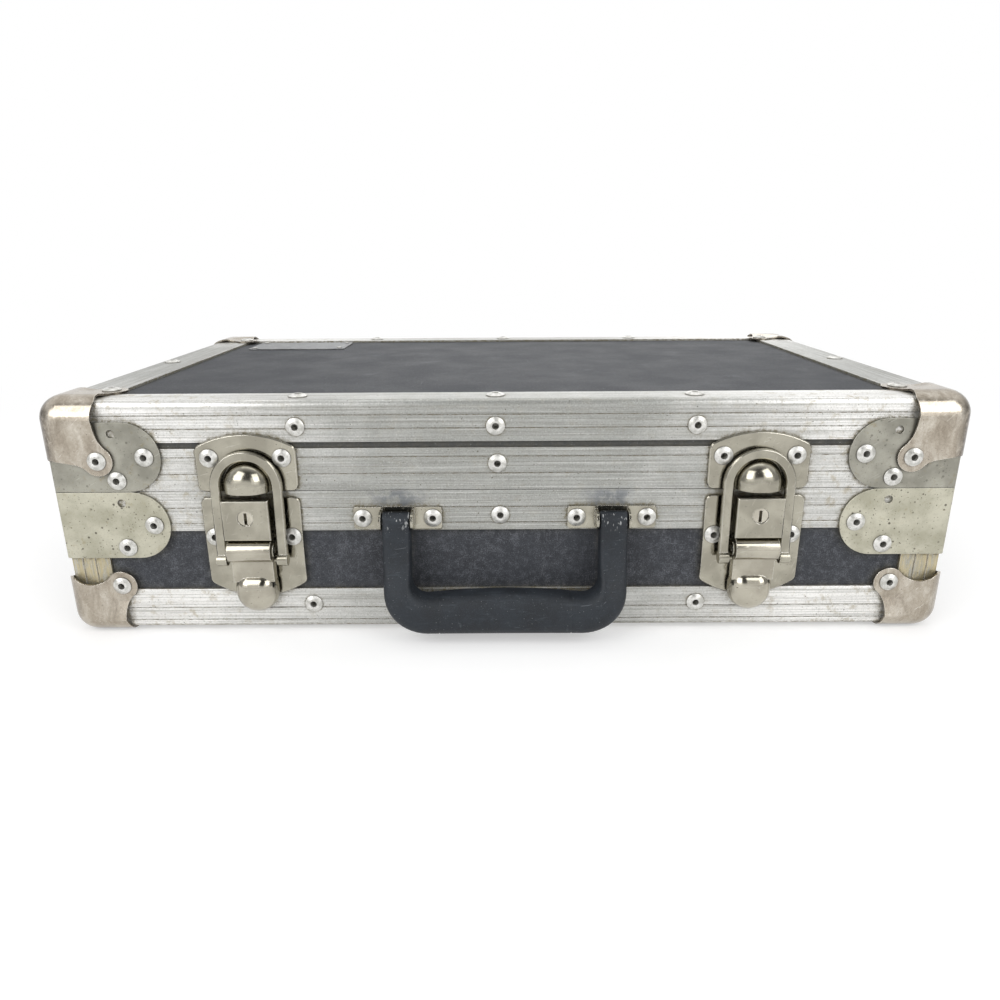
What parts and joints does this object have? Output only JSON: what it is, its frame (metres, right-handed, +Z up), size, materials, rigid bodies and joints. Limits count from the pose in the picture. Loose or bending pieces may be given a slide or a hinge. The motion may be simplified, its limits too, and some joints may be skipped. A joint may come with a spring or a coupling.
{
  "type": "briefcase",
  "caption": "Hard rectangular case with metal edging, riveted corners, a hinged lid, draw latches with key locks and a swinging carrying handle.",
  "frame": {"origin": "centre of the case's bounding box on the plane it rests on, under the base's ball corners", "axes": "+X to the right seen from the handle side, +Y from the handle side to the hinges, +Z up"},
  "size_m": [0.4588, 0.3016, 0.1272],
  "materials": {
    "laminate": "pebbled dark laminate on board",
    "extrusion": "satin, finely grooved",
    "zinc_plate": "dull zinc with dark specks",
    "nickel_sheet": "worn satin nickel",
    "nickel_plate": "polished warm nickel",
    "rivet": "chalky satin",
    "steel": "plain",
    "brass_plug": "nickelled",
    "handle_plastic": "scuffed moulded plastic",
    "label_metal": "dark anodised, blank",
    "foam": "dark foam sheet"
  },
  "bodies": {
    "base": {"base_ball_corners": "nickel_sheet", "base_corner_braces": "zinc_plate", "base_corner_posts": "extrusion", "base_floor_board": "laminate", "base_front_angle": "extrusion", "base_front_board": "laminate", "base_front_mouth": "extrusion", "base_left_angle": "extrusion", "base_left_board": "laminate", "base_left_mouth": "extrusion", "base_lining": "foam", "base_rear_angle": "extrusion", "base_rear_board": "laminate", "base_rear_mouth": "extrusion", "base_right_angle": "extrusion", "base_right_board": "laminate", "base_right_mouth": "extrusion", "base_rivets": "rivet", "handle_pins": "steel", "hinge_pins": "steel", "left_handle_bracket": "nickel_plate", "left_hinge_base_leaf": "steel", "left_latch_plate": "nickel_plate", "left_lock_housing": "nickel_plate", "lever_pins": "steel", "right_handle_bracket": "nickel_plate", "right_hinge_base_leaf": "steel", "right_latch_plate": "nickel_plate", "right_lock_housing": "nickel_plate"},
    "lid": {"label_plate": "label_metal", "left_catch_plate": "nickel_plate", "left_hinge_lid_leaf": "steel", "lid_ball_corners": "nickel_sheet", "lid_corner_braces": "zinc_plate", "lid_front_angle": "extrusion", "lid_front_board": "laminate", "lid_front_mouth": "extrusion", "lid_left_angle": "extrusion", "lid_left_board": "laminate", "lid_left_mouth": "extrusion", "lid_lining": "foam", "lid_rear_angle": "extrusion", "lid_rear_board": "laminate", "lid_rear_mouth": "extrusion", "lid_right_angle": "extrusion", "lid_right_board": "laminate", "lid_right_mouth": "extrusion", "lid_rivets": "rivet", "lid_top_board": "laminate", "right_catch_plate": "nickel_plate", "right_hinge_lid_leaf": "steel"},
    "handle": {"handle": "handle_plastic"},
    "left_lever": {"left_lever": "nickel_plate"},
    "left_bail": {"left_bail": "nickel_plate"},
    "left_key_cylinder": {"left_key_cylinder": "brass_plug"},
    "left_lock_bolt": {"left_lock_bolt": "steel"},
    "right_lever": {"right_lever": "nickel_plate"},
    "right_bail": {"right_bail": "nickel_plate"},
    "right_key_cylinder": {"right_key_cylinder": "brass_plug"},
    "right_lock_bolt": {"right_lock_bolt": "steel"}
  },
  "joints": [
    {"name": "lid_hinge", "type": "hinge", "parent": "base", "child": "lid", "pos_m": [0, 0.1428, 0.07855], "axis": [-1, 0, 0], "range_deg": [0, 100]},
    {"name": "handle_swing", "type": "hinge", "parent": "base", "child": "handle", "pos_m": [0, -0.135, 0.0641], "axis": [-1, 0, 0], "range_deg": [0, 150]},
    {"name": "left_lever_turn", "type": "hinge", "parent": "base", "child": "left_lever", "pos_m": [-0.128, -0.1364, 0.0494], "axis": [-1, 0, 0], "range_deg": [0, 110]},
    {"name": "left_bail_turn", "type": "hinge", "parent": "left_lever", "child": "left_bail", "pos_m": [-0.128, -0.1354, 0.0439], "axis": [1, 0, 0], "range_deg": [0, 133]},
    {"name": "left_key_turn", "type": "hinge", "parent": "base", "child": "left_key_cylinder", "pos_m": [-0.128, -0.1403, 0.0677], "axis": [0, -1, 0], "range_deg": [-90, 0]},
    {"name": "left_bolt_slide", "type": "slide", "parent": "base", "child": "left_lock_bolt", "axis": [0, 0, 1], "range_m": [-0.0036, 0]},
    {"name": "right_lever_turn", "type": "hinge", "parent": "base", "child": "right_lever", "pos_m": [0.126, -0.1364, 0.0494], "axis": [-1, 0, 0], "range_deg": [0, 110]},
    {"name": "right_bail_turn", "type": "hinge", "parent": "right_lever", "child": "right_bail", "pos_m": [0.126, -0.1354, 0.0439], "axis": [1, 0, 0], "range_deg": [0, 133]},
    {"name": "right_key_turn", "type": "hinge", "parent": "base", "child": "right_key_cylinder", "pos_m": [0.126, -0.1403, 0.0677], "axis": [0, -1, 0], "range_deg": [-90, 0]},
    {"name": "right_bolt_slide", "type": "slide", "parent": "base", "child": "right_lock_bolt", "axis": [0, 0, 1], "range_m": [-0.0036, 0]}
  ],
  "couplings": [
    {"joint": "left_bail_turn", "follows": "left_lever_turn", "ratio": 1.2},
    {"joint": "left_key_turn", "follows": "left_bolt_slide", "rad_per_m": 436.33},
    {"joint": "right_bail_turn", "follows": "right_lever_turn", "ratio": 1.2},
    {"joint": "right_key_turn", "follows": "right_bolt_slide", "rad_per_m": 436.33}
  ]
}
